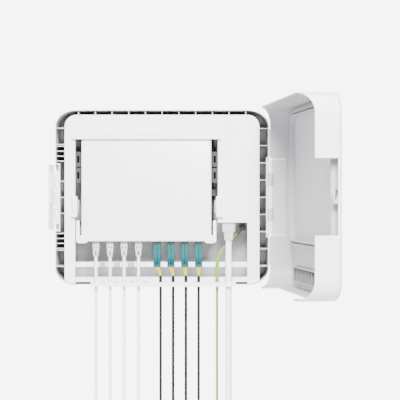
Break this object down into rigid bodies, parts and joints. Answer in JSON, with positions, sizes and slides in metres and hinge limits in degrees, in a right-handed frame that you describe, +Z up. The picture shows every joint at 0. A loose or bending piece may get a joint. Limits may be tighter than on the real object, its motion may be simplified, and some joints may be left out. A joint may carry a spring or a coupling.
{
  "type": "fiber termination box",
  "caption": "White outdoor wall or pole box with a side-hinged cover, holding a network switch with copper, fibre, mains and earth leads hanging from combs.",
  "frame": {"origin": "centre of the bracket's flat rear face, which sits against the wall or pole", "axes": "+Y out of the bracket's rear face into the wall or pole, +X to the right as seen from the front, +Z up"},
  "size_m": [0.4458, 0.4427, 0.6078],
  "materials": {
    "white_plastic": "fine satin",
    "panel_white": "satin",
    "support_grey": "satin",
    "socket_black": "matt",
    "seal_rubber": "matt",
    "zinc_steel": "zinc plated",
    "circuit_green": "solder mask",
    "tinned_copper": "bright",
    "white_cable": "smooth sheath",
    "black_cable": "smooth sheath",
    "plug_plastic": "clear moulded",
    "teal_plastic": "moulded",
    "earth_sleeve": "green and yellow stripes"
  },
  "bodies": {
    "housing": {"rear_housing": "white_plastic", "pole_bracket": "zinc_steel", "inner_panel": "panel_white", "top_rail": "white_plastic", "switch_cradle": "support_grey", "switch_cover": "white_plastic", "switch_base": "white_plastic", "circuit_board": "circuit_green", "ethernet_jacks": "socket_black", "sfp_cages": "zinc_steel", "sfp_module_1": "zinc_steel", "sfp_module_2": "zinc_steel", "sfp_module_3": "zinc_steel", "sfp_module_4": "zinc_steel", "power_supply": "support_grey", "supply_link": "socket_black", "upper_comb": "panel_white", "lower_comb": "panel_white", "clamp_bar": "panel_white", "earth_screw": "zinc_steel", "hinge_bracket": "white_plastic", "hinge_pin": "zinc_steel", "latch_pin": "zinc_steel", "ethernet_plug_1": "plug_plastic", "ethernet_cable_1": "white_cable", "ethernet_end_plug_1": "plug_plastic", "fibre_connector_1": "teal_plastic", "fibre_cable_1": "black_cable", "fibre_end_connector_1": "teal_plastic", "ethernet_plug_2": "plug_plastic", "ethernet_cable_2": "white_cable", "ethernet_end_plug_2": "plug_plastic", "fibre_connector_2": "teal_plastic", "fibre_cable_2": "black_cable", "fibre_end_connector_2": "teal_plastic", "ethernet_plug_3": "plug_plastic", "ethernet_cable_3": "white_cable", "ethernet_end_plug_3": "plug_plastic", "fibre_connector_3": "teal_plastic", "fibre_cable_3": "black_cable", "fibre_end_connector_3": "teal_plastic", "ethernet_plug_4": "plug_plastic", "ethernet_cable_4": "white_cable", "ethernet_end_plug_4": "plug_plastic", "fibre_connector_4": "teal_plastic", "fibre_cable_4": "black_cable", "fibre_end_connector_4": "teal_plastic", "power_connector": "white_plastic", "power_cord": "white_cable", "power_end_plug": "white_plastic", "earth_lug": "tinned_copper", "earth_wire": "earth_sleeve", "earth_end_lug": "tinned_copper"},
    "cover": {"front_cover": "white_plastic", "cover_seal": "seal_rubber", "hinge_leaf": "white_plastic"},
    "latch": {"latch_lever": "white_plastic"},
    "support": {"switch_support": "white_plastic"},
    "clip_left": {"release_clip_left": "white_plastic"},
    "clip_right": {"release_clip_right": "white_plastic"}
  },
  "joints": [
    {"name": "cover_hinge", "type": "hinge", "parent": "housing", "child": "cover", "pos_m": [0.1788, -0.0856, 0], "axis": [0, 0, 1], "range_deg": [-97, 40]},
    {"name": "latch_hinge", "type": "hinge", "parent": "housing", "child": "latch", "pos_m": [-0.1738, -0.0793, 0], "axis": [0, 0, 1], "range_deg": [-60, 6]},
    {"name": "support_slide", "type": "slide", "parent": "housing", "child": "support", "axis": [0, 0, -1], "range_m": [0, 0.018]},
    {"name": "clip_left_press", "type": "slide", "parent": "housing", "child": "clip_left", "axis": [1, 0, 0], "range_m": [0, 0.0025], "stiffness_N_per_m": 800},
    {"name": "clip_right_press", "type": "slide", "parent": "housing", "child": "clip_right", "axis": [-1, 0, 0], "range_m": [0, 0.0025], "stiffness_N_per_m": 800}
  ]
}
